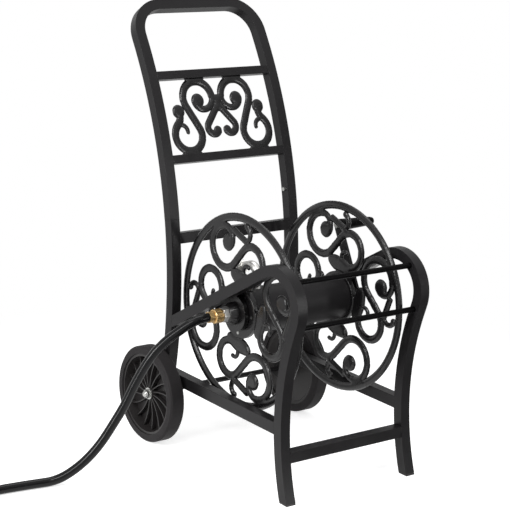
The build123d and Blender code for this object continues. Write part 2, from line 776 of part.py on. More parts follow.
# Gooseneck outlet: from the swivel tube out through the drum wall, then over and down to the back
flange_x = drum_end - spigot_length - flange_thickness
outlet_x = outlet_inset - flange_x
outlet_points = (
    (-flange_x, 0, axis_z),
    (outlet_x, 0, axis_z),
    (outlet_x, 0, axis_z + outlet_height),
    (outlet_x, outlet_reach, axis_z + outlet_height - outlet_drop),
)
with BuildLine() as outlet_line:
    FilletPolyline(*outlet_points, radius=(outlet_bend, outlet_arch))
outlet_ahead = (Vector(outlet_points[3]) - Vector(outlet_points[2])).normalized()
outlet_plane = Plane(outlet_points[3], x_dir=(1, 0, 0), z_dir=outlet_ahead)
with BuildPart() as outlet_elbow:
    with BuildSketch(Plane(outlet_points[0], x_dir=(0, 1, 0), z_dir=(1, 0, 0))):
        Circle(outlet_radius)
        Circle(water_radius, mode=Mode.SUBTRACT)
    sweep(path=outlet_line.wire())
    with BuildSketch(outlet_plane):
        Circle(thread_radius)
        Circle(water_radius, mode=Mode.SUBTRACT)
    extrude(amount=thread_length)
    with BuildSketch(outlet_plane):
        RegularPolygon(nipple_hex, 6)
        Circle(outlet_radius - run_clearance, mode=Mode.SUBTRACT)
    extrude(amount=-outlet_hex_length)
outlet_elbow.part.label = "outlet_elbow"
export_step(outlet_elbow.part, "parts/outlet_elbow.step")

# Drum, with a thick ring inside each end for the disc screws
with BuildPart() as drum:
    with BuildSketch(reel_plane(-drum_end, 1)):
        Circle(drum_radius)
        Circle(drum_radius - drum_wall, mode=Mode.SUBTRACT)
    extrude(amount=2 * drum_end)
    for side, sign in sides:
        with BuildSketch(reel_plane(sign * drum_end, -sign)):
            Circle(drum_radius - drum_wall)
            Circle(end_ring_radius, mode=Mode.SUBTRACT)
        extrude(amount=end_ring_length)
        with BuildSketch(reel_plane(sign * drum_end, -sign)):
            with PolarLocations(disc_screw_circle, disc_screw_count):
                Circle(disc_screw_radius + run_clearance)
        extrude(amount=end_ring_length, mode=Mode.SUBTRACT)
    riser = Vector(outlet_points[2]) - Vector(outlet_points[1])
    with BuildSketch(Plane(outlet_points[1], x_dir=(1, 0, 0), z_dir=riser)):
        Circle(outlet_radius + slip)
    extrude(amount=riser.length, mode=Mode.SUBTRACT)
drum.part.label = "drum"
export_step(drum.part, "parts/drum.step")

# Swivel tube: carries the left disc and brings the water in
collar_outer = inner_x + collar_length
with BuildPart() as swivel_tube:
    with BuildSketch(reel_plane(-flange_x, -1)):
        Circle(flange_radius)
    extrude(amount=flange_thickness)
    with BuildSketch(reel_plane(-flange_x, -1)):
        Circle(swivel_radius)
    extrude(amount=inner_x + swivel_reach - flange_x)
    with BuildSketch(reel_plane(-flange_x, -1)):
        Circle(water_radius)
    extrude(amount=inner_x + swivel_reach - flange_x, mode=Mode.SUBTRACT)
swivel_tube.part.label = "swivel_tube"
export_step(swivel_tube.part, "parts/swivel_tube.step")

# Swivel collar under the left arm, with two seal grooves round the swivel tube
seal_faces = (inner_x + 4, inner_x + 4 + 2 * seal_width)
with BuildPart() as swivel_collar:
    with BuildSketch(outward_plane(-1, 0, axis_z)):
        with BuildLine():
            Polyline(
                (inner_x, swivel_radius + 2 * slip),
                (inner_x, collar_radius),
                (inner_x + collar_length / 3, collar_radius),
                (collar_outer, collar_nose),
                (collar_outer, water_radius),
                (inner_x + swivel_reach + slip, water_radius),
                (inner_x + swivel_reach + slip, swivel_radius + 2 * slip),
                close=True,
            )
        make_face()
        for face in seal_faces:
            with Locations((face, swivel_radius + run_clearance)):
                Rectangle(seal_width, seal_depth, align=Align.MIN, mode=Mode.SUBTRACT)
    revolve(axis=reel_axis)
swivel_collar.part.label = "swivel_collar"
export_step(swivel_collar.part, "parts/swivel_collar.step")

with BuildPart() as swivel_seals:
    with BuildSketch(outward_plane(-1, 0, axis_z)):
        for face in seal_faces:
            with Locations((face, swivel_radius + run_clearance)):
                Rectangle(seal_width, seal_depth, align=Align.MIN)
    revolve(axis=reel_axis)
swivel_seals.part.label = "swivel_seals"
export_step(swivel_seals.part, "parts/swivel_seals.step")

# Inlet nipple: hexagon and garden hose thread
nipple_shoulder = collar_outer + nipple_hex_length
nipple_end = nipple_shoulder + thread_length
with BuildPart() as inlet_nipple:
    with BuildSketch(reel_plane(-collar_outer, -1)):
        RegularPolygon(nipple_hex, 6)
    extrude(amount=nipple_hex_length)
    with BuildSketch(reel_plane(-nipple_shoulder, -1)):
        Circle(thread_radius)
    extrude(amount=thread_length)
    with BuildSketch(reel_plane(-collar_outer, -1)):
        Circle(water_radius)
    extrude(amount=nipple_hex_length + thread_length, mode=Mode.SUBTRACT)
inlet_nipple.part.label = "inlet_nipple"
export_step(inlet_nipple.part, "parts/inlet_nipple.step")

# Leader hose route, from the ferrule down to the floor and out to the coil
ferrule_face = nipple_end + hose_washer_thickness
hose_start = ferrule_face + ferrule_step
coil_x = -hose_start - coil_reach
route = (
    (-hose_start, 0, axis_z),
    (-hose_start - 28, 0, axis_z),
    (-hose_start - 58.2, 1.6, axis_z - 6.4),
    (-hose_start - 89.4, 6.5, axis_z - 21.8),
    (-hose_start - 118.5, 17, axis_z - 48.6),
    (-hose_start - 144.8, 31, axis_z - 91.3),
    (-hose_start - 167.7, 45, axis_z - 151.6),
    (-hose_start - 192.2, 57, axis_z - 209.6),
    (-hose_start - 215.7, 67, hose_z + 99),
    (-hose_start - 244.2, 77, hose_z + 58.5),
    (-hose_start - 279.2, 87, hose_z + 27),
    (-hose_start - 319.7, 98, hose_z + 7),
    (-hose_start - 363.7, 107, hose_z),
    (-hose_start - 408.2, 114, hose_z),
    (-hose_start - 458.2, 119, hose_z),
    (-hose_start - 514.2, coil_y, hose_z),
    (coil_x, coil_y, hose_z),
)


def route_radii(points):
    """Arc at each corner: as large as its two runs allow."""
    radii = []
    for before, corner, after in zip(points, points[1:], points[2:]):
        run_in = Vector(corner) - Vector(before)
        run_out = Vector(after) - Vector(corner)
        shorter = min(run_in.length, run_out.length)
        radii.append(0.45 * shorter / tan(radians(run_in.get_angle(run_out) / 2)))
    return radii


hose_bends = route_radii(route)
with BuildLine() as hose_line:
    FilletPolyline(*route, radius=hose_bends)
with BuildPart() as leader_hose:
    with BuildSketch(Plane(route[0], x_dir=(0, 1, 0), z_dir=(-1, 0, 0))):
        Circle(hose_radius)
    sweep(path=hose_line.wire())
leader_hose.part.label = "leader_hose"
export_step(leader_hose.part, "parts/leader_hose.step")
hose_section = pi * hose_radius**2
print("hose bends", [round(bend) for bend in hose_bends])
print("hose volume ratio", leader_hose.part.volume / (hose_section * hose_line.wire().length))

# Put-away coil: one and a quarter turns spiralling in, the end laid over the outer turn
coil_lead = 2 * hose_radius
turn_x = coil_x - coil_lead
first_top = coil_y + 2 * coil_first_radius
second_foot = coil_y + coil_step
rise = radians(coil_rise)
end_ahead = Vector(0, cos(rise), sin(rise))
quarter_end = Vector(turn_x - coil_last_radius, second_foot + coil_last_radius, hose_z)
climb_end = quarter_end + Vector(0, sin(rise), 1 - cos(rise)) * climb_radius
crossing_y = coil_y + coil_first_radius + sqrt(coil_first_radius**2 - coil_last_radius**2)
coil_end = climb_end + end_ahead * ((crossing_y - climb_end.Y) / cos(rise) + coil_over)
with BuildLine() as coil_line:
    lead = Line((coil_x, coil_y, hose_z), (turn_x, coil_y, hose_z))
    first_half = TangentArc(lead @ 1, (turn_x, first_top, hose_z), tangent=lead % 1)
    second_half = TangentArc(first_half @ 1, (turn_x, second_foot, hose_z), tangent=first_half % 1)
    last_quarter = TangentArc(second_half @ 1, quarter_end, tangent=second_half % 1)
    climb = TangentArc(last_quarter @ 1, climb_end, tangent=last_quarter % 1)
    Line(climb @ 1, coil_end)
with BuildPart() as leader_coil:
    with BuildSketch(Plane((coil_x, coil_y, hose_z), x_dir=(0, 1, 0), z_dir=(-1, 0, 0))):
        Circle(hose_radius)
    sweep(path=coil_line.wire())
leader_coil.part.label = "leader_coil"
export_step(leader_coil.part, "parts/leader_coil.step")


def least_self_gap(wire, thickness, samples):
    """Least gap between stretches of a tube that lie more than a few thicknesses apart along it."""
    points = [wire.position_at(number / samples) for number in range(samples + 1)]
    apart = int(4 * thickness / wire.length * samples) + 1
    return min(
        (first - second).length - thickness
        for place, first in enumerate(points)
        for second in points[place + apart:]
    )


coil_wire = coil_line.wire()
print("coil least gap", round(least_self_gap(coil_wire, 2 * hose_radius, 300), 2))
print("coil volume ratio", leader_coil.part.volume / (hose_section * coil_wire.length))
print("hose length", round(hose_line.wire().length + coil_wire.length))

# Tie round the two neighbouring turns
with BuildPart() as coil_tie:
    tie_plane = Plane((turn_x, coil_y + coil_step / 2, hose_z), x_dir=(0, 1, 0), z_dir=(-1, 0, 0))
    tie_inner = hose_radius + tie_clearance
    tie_outer = tie_inner + tie_thickness
    with BuildSketch(tie_plane):
        SlotCenterToCenter(coil_step, 2 * tie_outer)
        SlotCenterToCenter(coil_step, 2 * tie_inner, mode=Mode.SUBTRACT)
    extrude(amount=tie_width / 2, both=True)
coil_tie.part.label = "coil_tie"
export_step(coil_tie.part, "parts/coil_tie.step")


def ferrule_profile():
    """Half section of a hose ferrule: local x from the hose's end outwards, local y the radius."""
    with BuildSketch() as profile:
        with BuildLine():
            Polyline(
                (-ferrule_grip, hose_radius + run_clearance),
                (-ferrule_grip, ferrule_radius),
                (ferrule_step - ferrule_flange_width, ferrule_radius),
                (ferrule_step - ferrule_flange_width, ferrule_flange),
                (ferrule_step, ferrule_flange),
                (ferrule_step, water_radius),
                (0, water_radius),
                (0, hose_radius + run_clearance),
                close=True,
            )
        make_face()
    return profile.sketch


def nut_profile():
    """Half section of a hose nut over the ferrule: its neck holds the ferrule's flange."""
    neck = ferrule_step - ferrule_flange_width - 2 * slip
    with BuildSketch() as profile:
        with BuildLine():
            Polyline(
                (neck - ferrule_flange_width, ferrule_radius + run_clearance),
                (neck - ferrule_flange_width, nut_radius - wall),
                (neck - ferrule_flange_width + wall, nut_radius),
                (neck + nut_length - ferrule_flange_width - wall, nut_radius),
                (neck + nut_length - ferrule_flange_width, nut_radius - wall / 2),
                (neck + nut_length - ferrule_flange_width, thread_radius + thread_clearance),
                (ferrule_step + slip, thread_radius + thread_clearance),
                (ferrule_step + slip, ferrule_flange + 4 * slip),
                (neck, ferrule_flange + 4 * slip),
                (neck, ferrule_radius + run_clearance),
                close=True,
            )
        make_face()
    return profile.sketch


def nut_grooves(plane):
    """Finger grooves along a nut, square to the plane across its axis."""
    with BuildSketch(plane) as grooves:
        with PolarLocations(nut_radius + wall, nut_ribs):
            Circle(1.5 * wall)
    return grooves.sketch


# Hose ends: the fixed one on the inlet and the swivelling one at the tap end
inlet_place = Plane((-hose_start, 0, axis_z), x_dir=(1, 0, 0), z_dir=(0, -1, 0))
supply_place = Plane(coil_end, x_dir=end_ahead, z_dir=(1, 0, 0))
for place, ferrule_name, nut_name in (
    (inlet_place, "hose_ferrule", "hose_nut"),
    (supply_place, "supply_ferrule", "supply_nut"),
):
    place_axis = Axis(place.origin, place.x_dir)
    with BuildPart() as ferrule:
        add(place * ferrule_profile())
        revolve(axis=place_axis)
    ferrule.part.label = ferrule_name
    export_step(ferrule.part, f"parts/{ferrule_name}.step")

    with BuildPart() as nut:
        add(place * nut_profile())
        revolve(axis=place_axis)
        extrude(nut_grooves(Plane(place.origin, z_dir=place.x_dir)), amount=nut_length, mode=Mode.SUBTRACT)
    nut.part.label = nut_name
    export_step(nut.part, f"parts/{nut_name}.step")

with BuildPart() as hose_washer:
    with BuildSketch(reel_plane(-nipple_end, -1)):
        Circle(thread_radius - slip)
        Circle(water_radius, mode=Mode.SUBTRACT)
    extrude(amount=hose_washer_thickness)
hose_washer.part.label = "hose_washer"
export_step(hose_washer.part, "parts/hose_washer.step")

# Crank shaft: carries the right disc, with a thread for the crank nut
crank_x = half_width + crank_gap
crank_outer = crank_x + crank_thickness
with BuildPart() as crank_shaft:
    with BuildSketch(reel_plane(flange_x, 1)):
        Circle(flange_radius)
    extrude(amount=flange_thickness)
    with BuildSketch(reel_plane(flange_x, 1)):
        Circle(shaft_radius)
    extrude(amount=crank_x - flange_x)
    with BuildSketch(reel_plane(crank_x, 1)):
        Circle(shaft_thread_radius)
    extrude(amount=crank_thickness + crank_nut_height + wall)
crank_shaft.part.label = "crank_shaft"
export_step(crank_shaft.part, "parts/crank_shaft.step")

# Crank arm: a bar with a boss on the shaft and a round end for the grip's pin
crank_ahead = Vector(0, sin(radians(crank_lean)), cos(radians(crank_lean)))
grip_point = Vector(0, 0, axis_z) + crank_ahead * crank_radius
crank_plane = Plane((crank_x, 0, axis_z), x_dir=crank_ahead, z_dir=(1, 0, 0))
with BuildPart() as crank_arm:
    with BuildSketch(crank_plane):
        with Locations((crank_radius / 2, 0)):
            SlotCenterToCenter(crank_radius, crank_width)
        Circle(crank_boss_radius)
    extrude(amount=crank_thickness)
    fillet(crank_arm.faces().sort_by(Axis.X)[-1].outer_wire().edges(), radius=1.5)
    with BuildSketch(crank_plane):
        Circle(crank_boss_radius - 2 * wall)
    extrude(amount=-crank_boss_depth)
    with BuildSketch(crank_plane):
        Circle(shaft_thread_radius + run_clearance)
        with Locations((crank_radius, 0)):
            Circle(pin_radius)
    extrude(amount=crank_thickness, mode=Mode.SUBTRACT)
    with BuildSketch(crank_plane):
        Circle(shaft_radius + run_clearance)
    extrude(amount=-crank_boss_depth, mode=Mode.SUBTRACT)
crank_arm.part.label = "crank_arm"
export_step(crank_arm.part, "parts/crank_arm.step")

with BuildPart() as crank_nut:
    with BuildSketch(reel_plane(crank_outer, 1)):
        RegularPolygon(crank_nut_radius, 6)
        Circle(shaft_thread_radius, mode=Mode.SUBTRACT)
    extrude(amount=crank_nut_height)
crank_nut.part.label = "crank_nut"
export_step(crank_nut.part, "parts/crank_nut.step")

# Grip and the pin that it turns on, nutted on the inner side of the crank arm
grip_plane = outward_plane(1, grip_point.Y, grip_point.Z)
grip_axis = Axis(grip_point, (1, 0, 0))
grip_foot = crank_outer + grip_gap / 2
grip_tip = grip_foot + grip_length
pin_seat = grip_tip - grip_end_radius / 2
with BuildPart() as grip_pin:
    with BuildSketch(grip_plane):
        with BuildLine():
            Polyline(
                (crank_x - pin_nut_height, 0),
                (crank_x - pin_nut_height, pin_radius),
                (pin_seat, pin_radius),
                (pin_seat, pin_head_radius),
                (pin_seat + pin_head_height, pin_head_radius),
                (pin_seat + pin_head_height, 0),
                close=True,
            )
        make_face()
    revolve(axis=grip_axis)
grip_pin.part.label = "grip_pin"
export_step(grip_pin.part, "parts/grip_pin.step")

with BuildPart() as grip_nut:
    with BuildSketch(Plane((crank_x, grip_point.Y, grip_point.Z), x_dir=(0, 1, 0), z_dir=(-1, 0, 0))):
        RegularPolygon(pin_nut_radius, 6)
        Circle(pin_radius, mode=Mode.SUBTRACT)
    extrude(amount=pin_nut_height)
grip_nut.part.label = "grip_nut"
export_step(grip_nut.part, "parts/grip_nut.step")

with BuildPart() as crank_grip:
    with BuildSketch(grip_plane):
        with BuildLine():
            bore = pin_radius + run_clearance
            head_bore = pin_head_radius + 2 * slip
            Polyline(
                (grip_tip, head_bore),
                (pin_seat - slip, head_bore),
                (pin_seat - slip, bore),
                (grip_foot, bore),
                (grip_foot, grip_base_radius - grip_collar),
                (grip_foot + grip_collar, grip_base_radius),
                (grip_tip - grip_end_radius, grip_end_radius),
            )
            taper = (grip_end_radius - grip_base_radius) / (grip_length - grip_collar - grip_end_radius)
            grip_end = (grip_tip - grip_end_radius, grip_end_radius)
            TangentArc(grip_end, (grip_tip, head_bore), tangent=(1, taper))
        make_face()
    revolve(axis=grip_axis)
crank_grip.part.label = "crank_grip"
export_step(crank_grip.part, "parts/crank_grip.step")
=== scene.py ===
"""Garden hose reel cart: finishes, leader hose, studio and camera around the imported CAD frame.

Lengths are in metres, or in millimetres where a name ends in _mm. Angles are in degrees.
"""

import logging
import math
from dataclasses import dataclass, replace
from enum import Enum
from typing import Any, Optional, Sequence, Union

import bpy
from mathutils import Matrix, Vector
from mathutils.kdtree import KDTree


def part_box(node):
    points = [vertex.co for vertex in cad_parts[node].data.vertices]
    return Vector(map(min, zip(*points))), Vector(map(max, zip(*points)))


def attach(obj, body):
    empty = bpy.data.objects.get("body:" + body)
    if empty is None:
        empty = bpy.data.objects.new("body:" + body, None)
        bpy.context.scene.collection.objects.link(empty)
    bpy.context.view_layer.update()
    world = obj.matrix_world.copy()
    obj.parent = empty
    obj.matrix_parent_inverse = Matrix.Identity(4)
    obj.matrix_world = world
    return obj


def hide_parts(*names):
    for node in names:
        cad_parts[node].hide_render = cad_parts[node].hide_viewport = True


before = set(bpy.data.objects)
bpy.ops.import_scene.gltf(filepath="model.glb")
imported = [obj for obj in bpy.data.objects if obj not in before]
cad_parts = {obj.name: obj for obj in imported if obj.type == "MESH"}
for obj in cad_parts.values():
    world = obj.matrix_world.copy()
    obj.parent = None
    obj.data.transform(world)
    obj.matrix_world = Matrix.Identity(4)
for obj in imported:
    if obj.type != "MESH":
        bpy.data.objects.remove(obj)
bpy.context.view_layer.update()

LOG = logging.getLogger("hose_reel_cart")
MM = 0.001
SIDES = ("left", "right")
UPWARD = Vector((0.0, 0.0, 1.0))
WHITE = (1.0, 1.0, 1.0, 1.0)

# Tone patches of a finish, and the band that most of their noise lies in
PATCH_DETAIL = 3.0
PATCH_ROUGHNESS = 0.6
PATCH_LOW = 0.3
PATCH_HIGH = 0.7
# Fine grain of a finish, and the slightly uneven feed lines of a turned one
GRAIN_DETAIL = 2.0
GRAIN_ROUGHNESS = 0.5
FEED_DETAIL = 1.0
FEED_DISTORTION = 0.4
# Points of a CAD mesh nearer than this are one corner
MERGE_DISTANCE = 1e-6
# Faces that meet flatter than the first are one face; edges sharper than the second are rounded
FLAT_ANGLE = 0.6
SHARP_ANGLE = 32.0
# How far large faces set the shading of the edges beside them, in per cent
FACE_WEIGHT = 60
# Faces across a rounded edge of a large piece, and of a nut or a rib
EDGE_SEGMENTS = 3
FINE_EDGE_SEGMENTS = 2

Place = tuple[float, float]
Point = tuple[float, float, float]
Socket = bpy.types.NodeSocket
Linked = Union[Socket, float, Sequence[float]]


class Body(str, Enum):
    """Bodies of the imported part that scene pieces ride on."""

    FRAME = "frame"
    REEL = "reel"


class Slot(str, Enum):
    """Material slots of the record that scene pieces take their finish from."""

    CASTING = "powder_coated_casting"
    HOSE = "hose_rubber"
    SEAL = "seal_rubber"


class Turning(str, Enum):
    """Axis that a turned piece was cut round."""

    INLET = "X"
    SUPPLY = "Y"


def linear(colour: str) -> tuple[float, float, float, float]:
    """Turn an sRGB hex colour into linear light, by the curve of the sRGB standard.

    Args:
        colour: Colour written as #RRGGBB.

    Returns:
        Linear red, green, blue and an alpha of 1.
    """
    parts = [int(colour[place:place + 2], 16) / 255 for place in (1, 3, 5)]
    red, green, blue = (
        part / 12.92 if part <= 0.04045 else ((part + 0.055) / 1.055) ** 2.4 for part in parts
    )
    return red, green, blue, 1.0


def per_metre(size_mm: float) -> float:
    """Texture scale, in cells per metre, that draws one cell at this real size."""
    return 1.0 / (size_mm * MM)


def add_node(tree: bpy.types.NodeTree, kind: str, settings: Optional[dict[str, Any]] = None,
             inputs: Optional[dict[Union[str, int], Linked]] = None) -> bpy.types.Node:
    """Add one node with its settings and its inputs.

    Args:
        tree: Node tree that gets the node.
        kind: Blender's type name of the node.
        settings: Attributes to set on the node.
        inputs: Input sockets by name or number, each a value or a socket to link from.

    Returns:
        The new node.
    """
    node = tree.nodes.new(kind)
    for name, value in (settings or {}).items():
        setattr(node, name, value)
    for name, value in (inputs or {}).items():
        if isinstance(value, bpy.types.NodeSocket):
            tree.links.new(value, node.inputs[name])
        else:
            node.inputs[name].default_value = value
    return node


def new_material(name: str) -> tuple[bpy.types.Material, bpy.types.NodeTree]:
    """Make an empty node material.

    Args:
        name: Name of the material.

    Returns:
        The material and its empty node tree.
    """
    material = bpy.data.materials.new(name)
    material.use_nodes = True
    material.node_tree.nodes.clear()
    return material, material.node_tree


@dataclass(frozen=True)
class Finish:
    """A coated, moulded or plated surface: two close tones, a fine texture and an uneven gloss."""

    name: str
    colour: str
    second_colour: str
    roughness: float
    roughness_spread: float
    grain_mm: float
    grain_height_mm: float
    patch_mm: float
    metallic: float = 0.0
    ior: float = 1.5
    specular_level: float = 0.5
    turned_mm: float = 0.0
    turning: Turning = Turning.INLET

    def build(self) -> bpy.types.Material:
        """Make the node material of this finish, once.

        Returns:
            The material, which all pieces with this finish share.
        """
        known = bpy.data.materials.get(self.name)
        if known is not None:
            return known
        material, tree = new_material(self.name)
        place = add_node(tree, "ShaderNodeTexCoord").outputs["Object"]
        patches = add_node(tree, "ShaderNodeTexNoise", {}, {
            "Vector": place, "Scale": per_metre(self.patch_mm),
            "Detail": PATCH_DETAIL, "Roughness": PATCH_ROUGHNESS,
        }).outputs["Fac"]
        tones = add_node(tree, "ShaderNodeMix", {"data_type": "RGBA"}, {
            "Factor": patches, 6: linear(self.colour), 7: linear(self.second_colour),
        }).outputs[2]
        gloss = add_node(tree, "ShaderNodeMapRange", {}, {
            "Value": patches, "From Min": PATCH_LOW, "From Max": PATCH_HIGH,
            "To Min": self.roughness - self.roughness_spread,
            "To Max": self.roughness + self.roughness_spread,
        }).outputs["Result"]
        height = add_node(tree, "ShaderNodeTexNoise", {}, {
            "Vector": place, "Scale": per_metre(self.grain_mm),
            "Detail": GRAIN_DETAIL, "Roughness": GRAIN_ROUGHNESS,
        }).outputs["Fac"]
        if self.turned_mm:
            # A wave's bands repeat every pi / (10 * scale), in metres
            height = add_node(tree, "ShaderNodeTexWave", {"bands_direction": self.turning.value}, {
                "Vector": place, "Scale": math.pi / (10 * self.turned_mm * MM),
                "Distortion": FEED_DISTORTION, "Detail": FEED_DETAIL,
            }).outputs["Fac"]
        bump = add_node(tree, "ShaderNodeBump", {}, {
            "Height": height, "Strength": 1.0, "Distance": self.grain_height_mm * MM,
        }).outputs["Normal"]
        shader = add_node(tree, "ShaderNodeBsdfPrincipled", {}, {
            "Base Color": tones, "Roughness": gloss, "Normal": bump, "Metallic": self.metallic,
            "IOR": self.ior, "Specular IOR Level": self.specular_level,
        })
        add_node(tree, "ShaderNodeOutputMaterial", {}, {"Surface": shader.outputs["BSDF"]})
        return material


# Polyester powder, sprayed on steel tube and baked: even satin black with a fine orange peel.
# The peel is drawn a little coarser than the real 1 mm, so that it shows.
POWDER_COAT = Finish(
    "powder_coat_sprayed_on_steel", "#161516", "#1B1A1B", roughness=0.33, roughness_spread=0.05,
    grain_mm=2.4, grain_height_mm=0.025, patch_mm=70.0, specular_level=0.17,
)
# The same powder over cast aluminium: the casting's skin shows through as a soft, wide grain.
CAST_POWDER_COAT = Finish(
    "powder_coat_on_cast_aluminium", "#090809", "#0E0D0E", roughness=0.28, roughness_spread=0.05,
    grain_mm=5.0, grain_height_mm=0.02, patch_mm=45.0, specular_level=0.36,
)
# Drawn round bar with a thin brushed enamel: deeper black, smoother than powder.
ROD_ENAMEL = Finish(
    "enamel_on_drawn_bar", "#040404", "#070607", roughness=0.30, roughness_spread=0.04,
    grain_mm=3.0, grain_height_mm=0.01, patch_mm=80.0, specular_level=0.04,
)
# Baked enamel on the drum's rolled sheet: deep, even black.
DRUM_ENAMEL = Finish(
    "enamel_baked_on_rolled_sheet", "#1B1A1B", "#201F20", roughness=0.45, roughness_spread=0.05,
    grain_mm=4.0, grain_height_mm=0.03, patch_mm=90.0, specular_level=0.14,
)
# Zinc plate from a barrel: bright grey with dull patches and tumbling marks.
ZINC_PLATE = Finish(
    "zinc_barrel_plated_steel", "#B4B4B0", "#9C9D9C", roughness=0.30, roughness_spread=0.08,
    grain_mm=0.9, grain_height_mm=0.012, patch_mm=6.0, metallic=1.0,
)
# Satin nickel plate on a brass casting: pale silver whose light spreads soft and wide.
NICKEL = Finish(
    "nickel_satin_plate", "#DAD9D6", "#CCCBC8", roughness=0.38, roughness_spread=0.05,
    grain_mm=4.0, grain_height_mm=0.01, patch_mm=14.0, metallic=1.0,
)
# Free-cutting brass turned on a lathe: warm yellow with fine feed lines round the axis.
# The lines are drawn coarser than the real 0.2 mm, so that they show.
BRASS_INLET = Finish(
    "brass_turned_inlet", "#C2A67A", "#B4945E", roughness=0.36, roughness_spread=0.06,
    grain_mm=1.0, grain_height_mm=0.012, patch_mm=9.0, metallic=1.0, turned_mm=0.9,
)
BRASS_SUPPLY = replace(BRASS_INLET, name="brass_turned_supply", turning=Turning.SUPPLY)
# Vulcanised tyre rubber from a blasted mould: dull grey black with a fine pebble.
# The pebble is drawn coarser than the real 0.3 mm, so that it shows.
TYRE_RUBBER = Finish(
    "rubber_moulded_tyre", "#1C1A1B", "#222021", roughness=0.66, roughness_spread=0.06,
    grain_mm=1.6, grain_height_mm=0.05, patch_mm=30.0, specular_level=0.16,
)
# Polypropylene from a spark-eroded mould: matt black with a fine even sparkle.
# The sparkle is drawn coarser than the real 0.1 mm, so that it shows.
WHEEL_PLASTIC = Finish(
    "polypropylene_moulded_matt", "#1F1D1D", "#262424", roughness=0.40, roughness_spread=0.05,
    grain_mm=1.2, grain_height_mm=0.03, patch_mm=35.0, specular_level=0.25,
)
# Grip of smooth PVC from a polished mould: deep gloss black.
GRIP_PLASTIC = Finish(
    "pvc_moulded_gloss", "#030303", "#060506", roughness=0.32, roughness_spread=0.04,
    grain_mm=2.0, grain_height_mm=0.015, patch_mm=30.0, specular_level=0.05,
)
# Acetal bushes, turned from natural stock: waxy off-white, with feed lines drawn coarse to show.
BEARING_PLASTIC = Finish(
    "acetal_turned_natural", "#D2CFC4", "#C6C3B7", roughness=0.42, roughness_spread=0.05,
    grain_mm=0.9, grain_height_mm=0.01, patch_mm=8.0, turned_mm=0.8,
)
# Moulded nitrile seals: matt black.
SEAL_RUBBER = Finish(
    "nitrile_moulded_seal", "#1C1B1B", "#242323", roughness=0.65, roughness_spread=0.05,
    grain_mm=0.8, grain_height_mm=0.01, patch_mm=6.0,
)
# Extruded PVC hose cover: deep black with the wet gloss that draws long light lines.
HOSE_COVER = Finish(
    "pvc_extruded_hose_cover", "#060607", "#0A0A0B", roughness=0.16, roughness_spread=0.03,
    grain_mm=5.0, grain_height_mm=0.01, patch_mm=60.0, ior=1.53, specular_level=0.18,
)


@dataclass(frozen=True)
class WovenStrap:
    """Woven nylon hook-and-loop strap: a fine over-and-under weave of dull black yarn."""

    name: str = "nylon_woven_strap"
    colour: str = "#1A1A1B"
    yarn_colour: str = "#2E2E30"
    yarn_mm: float = 1.1
    roughness: float = 0.8
    height_mm: float = 0.15
    bump_strength: float = 0.6

    def build(self) -> bpy.types.Material:
        """Make the woven strap's node material.

        Returns:
            The material.
        """
        material, tree = new_material(self.name)
        place = add_node(tree, "ShaderNodeTexCoord").outputs["Object"]
        weave = add_node(tree, "ShaderNodeTexChecker", {}, {
            "Vector": place, "Color1": linear(self.colour), "Color2": linear(self.yarn_colour),
            "Scale": per_metre(self.yarn_mm),
        })
        bump = add_node(tree, "ShaderNodeBump", {}, {
            "Height": weave.outputs["Fac"], "Strength": self.bump_strength,
            "Distance": self.height_mm * MM,
        }).outputs["Normal"]
        shader = add_node(tree, "ShaderNodeBsdfPrincipled", {}, {
            "Base Color": weave.outputs["Color"], "Roughness": self.roughness, "Normal": bump,
        })
        add_node(tree, "ShaderNodeOutputMaterial", {}, {"Surface": shader.outputs["BSDF"]})
        return material


def add_object(name: str, data: bpy.types.ID) -> bpy.types.Object:
    """Put new data into the scene.

    Args:
        name: Name of the object.
        data: Its mesh, curve, light or camera.

    Returns:
        The new object.
    """
    thing = bpy.data.objects.new(name, data)
    bpy.context.scene.collection.objects.link(thing)
    return thing


def mesh_piece(name: str, points: Sequence[Sequence[float]], faces: Sequence[Sequence[int]],
               material: bpy.types.Material) -> bpy.types.Object:
    """Make a smooth mesh piece.

    Args:
        name: Name of the piece.
        points: Its points.
        faces: Its faces, as point numbers.
        material: Its material.

    Returns:
        The new object, in the scene.
    """
    mesh = bpy.data.meshes.new(name)
    mesh.from_pydata([tuple(point) for point in points], [], [tuple(face) for face in faces])
    mesh.validate()
    mesh.shade_smooth()
    mesh.materials.append(material)
    return add_object(name, mesh)


def weld_corners(piece: bpy.types.Object) -> None:
    """Join the corners that a CAD mesh holds once for each face."""
    weld = piece.modifiers.new("joined_corners", "WELD")
    weld.merge_threshold = MERGE_DISTANCE


def dress(node: str, finish: Finish, edge_mm: float = 0.0, segments: int = EDGE_SEGMENTS) -> None:
    """Give a CAD node its finish and soften its edges.

    Args:
        node: Name of the CAD node.
        finish: Finish of its whole surface.
        edge_mm: Radius that its sharp edges are rounded to, or 0 to leave them.
        segments: Faces across each rounded edge.
    """
    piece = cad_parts[node]
    piece.data.materials.clear()
    piece.data.materials.append(finish.build())
    if edge_mm:
        weld_corners(piece)
        flat = piece.modifiers.new("whole_faces", "DECIMATE")
        flat.decimate_type = "DISSOLVE"
        flat.angle_limit = math.radians(FLAT_ANGLE)
        edge = piece.modifiers.new("soft_edges", "BEVEL")
        edge.width = edge_mm * MM
        edge.segments = segments
        edge.limit_method = "ANGLE"
        edge.angle_limit = math.radians(SHARP_ANGLE)
        edge.use_clamp_overlap = True
        shade = piece.modifiers.new("even_shading", "WEIGHTED_NORMAL")
        shade.weight = FACE_WEIGHT
        shade.keep_sharp = False
    LOG.info("dressed %s with %s", node, finish.name)


